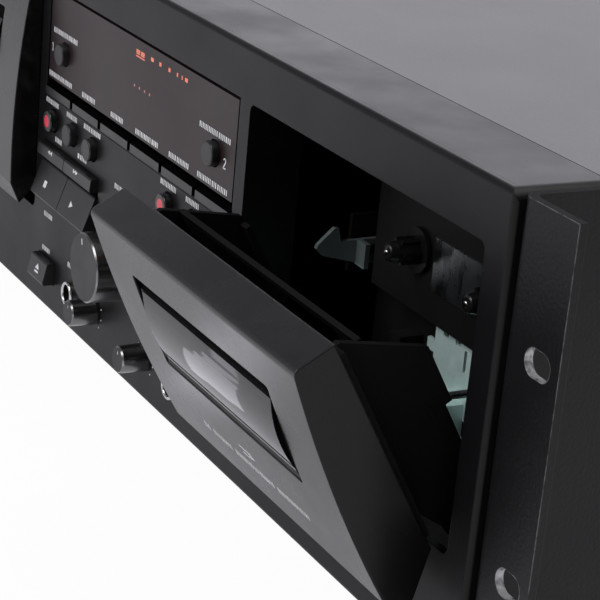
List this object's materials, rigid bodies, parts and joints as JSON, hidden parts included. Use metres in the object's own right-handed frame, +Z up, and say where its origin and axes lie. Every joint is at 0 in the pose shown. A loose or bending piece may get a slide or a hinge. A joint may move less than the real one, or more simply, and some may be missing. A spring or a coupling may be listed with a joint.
{
  "type": "double cassette deck",
  "caption": "Rack-mount double cassette deck with hinged doors, cassette holders, reel spindles, transport keys, level knobs and a smoked display.",
  "frame": {"origin": "on the floor under the middle of the bounding box at rest, with the right door open", "axes": "+Z up, -Y out of the front panel, +X to the right seen from the front"},
  "size_m": [0.4826, 0.3368, 0.138],
  "materials": {
    "panel_paint": "satin black paint",
    "cover_paint": "fine textured grey-black paint",
    "chassis_steel": "zinc plated sheet",
    "rear_paint": "textured black paint",
    "ear_paint": "textured black paint with bare edges",
    "black_screws": "black oxide",
    "foot_rubber": "matt rubber",
    "display_smoke": "smoked acrylic",
    "board_laminate": "green solder mask",
    "transformer_core": "varnished laminations",
    "inlet_plastic": "moulded black",
    "line_brass": "plated brass",
    "jack_nickel": "nickel plate",
    "mechanism_black": "matt black",
    "reflector_mirror": "bright plate",
    "motor_steel": "plated steel",
    "door_paint": "satin black paint",
    "door_glass": "smoked clear plastic",
    "holder_plastic": "moulded black",
    "reel_plastic": "moulded black",
    "zinc_plate": "zinc plate",
    "flywheel_steel": "turned steel",
    "knob_plastic": "satin black",
    "record_red": "red cap on black key",
    "key_plastic": "satin black"
  },
  "bodies": {
    "cabinet": {"front_panel": "panel_paint", "top_cover": "cover_paint", "bottom_chassis": "chassis_steel", "rear_panel": "rear_paint", "rack_ears": "ear_paint", "screws": "black_screws", "feet": "foot_rubber", "display_window": "display_smoke", "circuit_boards": "board_laminate", "power_transformer": "transformer_core", "power_inlet": "inlet_plastic", "line_jacks": "line_brass", "front_jacks": "jack_nickel", "mechanism_plates": "mechanism_black", "reel_reflectors": "reflector_mirror", "capstan_motors": "motor_steel"},
    "left_door": {"door_cover_1": "door_paint", "door_window_1": "door_glass", "cassette_holder_1": "holder_plastic"},
    "right_door": {"door_cover_2": "door_paint", "door_window_2": "door_glass", "cassette_holder_2": "holder_plastic"},
    "reel_1_left": {"reel_1_left": "reel_plastic"},
    "reel_1_right": {"reel_1_right": "reel_plastic"},
    "reel_2_left": {"reel_2_left": "reel_plastic"},
    "reel_2_right": {"reel_2_right": "reel_plastic"},
    "latch_lever_1": {"latch_lever_1": "zinc_plate"},
    "latch_lever_2": {"latch_lever_2": "zinc_plate"},
    "head_slide_1": {"head_slide_1": "zinc_plate"},
    "head_slide_2": {"head_slide_2": "zinc_plate"},
    "flywheel_1": {"flywheel_1": "flywheel_steel"},
    "flywheel_2": {"flywheel_2": "flywheel_steel"},
    "level_knob": {"level_knob": "knob_plastic"},
    "trim_knob_left": {"trim_knob_left": "knob_plastic"},
    "trim_knob_right": {"trim_knob_right": "knob_plastic"},
    "function_key_1": {"function_key_1": "key_plastic"},
    "function_key_2": {"function_key_2": "key_plastic"},
    "function_key_3": {"function_key_3": "key_plastic"},
    "function_key_4": {"function_key_4": "key_plastic"},
    "function_key_5": {"function_key_5": "key_plastic"},
    "function_key_6": {"function_key_6": "key_plastic"},
    "reset_button_1": {"reset_button_1": "key_plastic"},
    "reset_button_2": {"reset_button_2": "key_plastic"},
    "record_key_1": {"record_key_1": "record_red"},
    "record_key_2": {"record_key_2": "record_red"},
    "pause_key_1": {"pause_key_1": "key_plastic"},
    "pause_key_2": {"pause_key_2": "key_plastic"},
    "mute_key_1": {"mute_key_1": "key_plastic"},
    "mute_key_2": {"mute_key_2": "key_plastic"},
    "rewind_key_1": {"rewind_key_1": "key_plastic"},
    "rewind_key_2": {"rewind_key_2": "key_plastic"},
    "forward_key_1": {"forward_key_1": "key_plastic"},
    "forward_key_2": {"forward_key_2": "key_plastic"},
    "stop_key_1": {"stop_key_1": "key_plastic"},
    "stop_key_2": {"stop_key_2": "key_plastic"},
    "play_key_1": {"play_key_1": "key_plastic"},
    "play_key_2": {"play_key_2": "key_plastic"},
    "eject_button_1": {"eject_button_1": "key_plastic"},
    "eject_button_2": {"eject_button_2": "key_plastic"},
    "power_button": {"power_button": "key_plastic"}
  },
  "joints": [
    {"name": "left_door_hinge", "type": "hinge", "parent": "cabinet", "child": "left_door", "pos_m": [-0.14465, -0.09525, 0.0251], "axis": [1, 0, 0], "range_deg": [0, 30]},
    {"name": "right_door_hinge", "type": "hinge", "parent": "cabinet", "child": "right_door", "pos_m": [0.14465, -0.09525, 0.0251], "axis": [1, 0, 0], "range_deg": [-30, 0]},
    {"name": "reel_1_left_turn", "type": "hinge", "parent": "cabinet", "child": "reel_1_left", "pos_m": [-0.1659, -0.08455, 0.0891], "axis": [0, -1, 0], "continuous": true},
    {"name": "reel_1_right_turn", "type": "hinge", "parent": "cabinet", "child": "reel_1_right", "pos_m": [-0.1234, -0.08455, 0.0891], "axis": [0, -1, 0], "continuous": true},
    {"name": "reel_2_left_turn", "type": "hinge", "parent": "cabinet", "child": "reel_2_left", "pos_m": [0.1234, -0.08455, 0.0891], "axis": [0, -1, 0], "continuous": true},
    {"name": "reel_2_right_turn", "type": "hinge", "parent": "cabinet", "child": "reel_2_right", "pos_m": [0.1659, -0.08455, 0.0891], "axis": [0, -1, 0], "continuous": true},
    {"name": "latch_1_pivot", "type": "hinge", "parent": "cabinet", "child": "latch_lever_1", "pos_m": [-0.20055, -0.07955, 0.0776], "axis": [1, 0, 0], "range_deg": [0, 8], "stiffness_Nm_per_rad": 0.05},
    {"name": "head_1_rise", "type": "slide", "parent": "cabinet", "child": "head_slide_1", "axis": [0, 0, 1], "range_m": [0, 0.004]},
    {"name": "capstan_1_turn", "type": "hinge", "parent": "cabinet", "child": "flywheel_1", "pos_m": [-0.12365, -0.07355, 0.0629], "axis": [0, -1, 0], "continuous": true},
    {"name": "latch_2_pivot", "type": "hinge", "parent": "cabinet", "child": "latch_lever_2", "pos_m": [0.08875, -0.07955, 0.0776], "axis": [1, 0, 0], "range_deg": [0, 8], "stiffness_Nm_per_rad": 0.05},
    {"name": "head_2_rise", "type": "slide", "parent": "cabinet", "child": "head_slide_2", "axis": [0, 0, 1], "range_m": [0, 0.004]},
    {"name": "capstan_2_turn", "type": "hinge", "parent": "cabinet", "child": "flywheel_2", "pos_m": [0.16565, -0.07355, 0.0629], "axis": [0, -1, 0], "continuous": true},
    {"name": "level_turn", "type": "hinge", "parent": "cabinet", "child": "level_knob", "pos_m": [0, -0.12055, 0.0449], "axis": [0, -1, 0], "range_deg": [-150, 150]},
    {"name": "trim_left_turn", "type": "hinge", "parent": "cabinet", "child": "trim_knob_left", "pos_m": [-0.0218, -0.12055, 0.0205], "axis": [0, -1, 0], "range_deg": [-150, 150]},
    {"name": "trim_right_turn", "type": "hinge", "parent": "cabinet", "child": "trim_knob_right", "pos_m": [0.0218, -0.12055, 0.0205], "axis": [0, -1, 0], "range_deg": [-150, 150]},
    {"name": "function_key_1_press", "type": "slide", "parent": "cabinet", "child": "function_key_1", "axis": [0, 1, 0], "range_m": [0, 0.0012], "stiffness_N_per_m": 60},
    {"name": "function_key_2_press", "type": "slide", "parent": "cabinet", "child": "function_key_2", "axis": [0, 1, 0], "range_m": [0, 0.0012], "stiffness_N_per_m": 60},
    {"name": "function_key_3_press", "type": "slide", "parent": "cabinet", "child": "function_key_3", "axis": [0, 1, 0], "range_m": [0, 0.0012], "stiffness_N_per_m": 60},
    {"name": "function_key_4_press", "type": "slide", "parent": "cabinet", "child": "function_key_4", "axis": [0, 1, 0], "range_m": [0, 0.0012], "stiffness_N_per_m": 60},
    {"name": "function_key_5_press", "type": "slide", "parent": "cabinet", "child": "function_key_5", "axis": [0, 1, 0], "range_m": [0, 0.0012], "stiffness_N_per_m": 60},
    {"name": "function_key_6_press", "type": "slide", "parent": "cabinet", "child": "function_key_6", "axis": [0, 1, 0], "range_m": [0, 0.0012], "stiffness_N_per_m": 60},
    {"name": "reset_button_1_press", "type": "slide", "parent": "cabinet", "child": "reset_button_1", "axis": [0, 1, 0], "range_m": [0, 0.0012], "stiffness_N_per_m": 60},
    {"name": "reset_button_2_press", "type": "slide", "parent": "cabinet", "child": "reset_button_2", "axis": [0, 1, 0], "range_m": [0, 0.0012], "stiffness_N_per_m": 60},
    {"name": "record_key_1_press", "type": "slide", "parent": "cabinet", "child": "record_key_1", "axis": [0, 1, 0], "range_m": [0, 0.0012], "stiffness_N_per_m": 60},
    {"name": "record_key_2_press", "type": "slide", "parent": "cabinet", "child": "record_key_2", "axis": [0, 1, 0], "range_m": [0, 0.0012], "stiffness_N_per_m": 60},
    {"name": "pause_key_1_press", "type": "slide", "parent": "cabinet", "child": "pause_key_1", "axis": [0, 1, 0], "range_m": [0, 0.0012], "stiffness_N_per_m": 60},
    {"name": "pause_key_2_press", "type": "slide", "parent": "cabinet", "child": "pause_key_2", "axis": [0, 1, 0], "range_m": [0, 0.0012], "stiffness_N_per_m": 60},
    {"name": "mute_key_1_press", "type": "slide", "parent": "cabinet", "child": "mute_key_1", "axis": [0, 1, 0], "range_m": [0, 0.0012], "stiffness_N_per_m": 60},
    {"name": "mute_key_2_press", "type": "slide", "parent": "cabinet", "child": "mute_key_2", "axis": [0, 1, 0], "range_m": [0, 0.0012], "stiffness_N_per_m": 60},
    {"name": "rewind_key_1_press", "type": "slide", "parent": "cabinet", "child": "rewind_key_1", "axis": [0, 1, 0], "range_m": [0, 0.0012], "stiffness_N_per_m": 60},
    {"name": "rewind_key_2_press", "type": "slide", "parent": "cabinet", "child": "rewind_key_2", "axis": [0, 1, 0], "range_m": [0, 0.0012], "stiffness_N_per_m": 60},
    {"name": "forward_key_1_press", "type": "slide", "parent": "cabinet", "child": "forward_key_1", "axis": [0, 1, 0], "range_m": [0, 0.0012], "stiffness_N_per_m": 60},
    {"name": "forward_key_2_press", "type": "slide", "parent": "cabinet", "child": "forward_key_2", "axis": [0, 1, 0], "range_m": [0, 0.0012], "stiffness_N_per_m": 60},
    {"name": "stop_key_1_press", "type": "slide", "parent": "cabinet", "child": "stop_key_1", "axis": [0, 1, 0], "range_m": [0, 0.0012], "stiffness_N_per_m": 60},
    {"name": "stop_key_2_press", "type": "slide", "parent": "cabinet", "child": "stop_key_2", "axis": [0, 1, 0], "range_m": [0, 0.0012], "stiffness_N_per_m": 60},
    {"name": "play_key_1_press", "type": "slide", "parent": "cabinet", "child": "play_key_1", "axis": [0, 1, 0], "range_m": [0, 0.0012], "stiffness_N_per_m": 60},
    {"name": "play_key_2_press", "type": "slide", "parent": "cabinet", "child": "play_key_2", "axis": [0, 1, 0], "range_m": [0, 0.0012], "stiffness_N_per_m": 60},
    {"name": "eject_button_1_press", "type": "slide", "parent": "cabinet", "child": "eject_button_1", "axis": [0, 1, 0], "range_m": [0, 0.0012], "stiffness_N_per_m": 60},
    {"name": "eject_button_2_press", "type": "slide", "parent": "cabinet", "child": "eject_button_2", "axis": [0, 1, 0], "range_m": [0, 0.0012], "stiffness_N_per_m": 60},
    {"name": "power_button_press", "type": "slide", "parent": "cabinet", "child": "power_button", "axis": [0, 1, 0], "range_m": [0, 0.0025], "stiffness_N_per_m": 60}
  ]
}
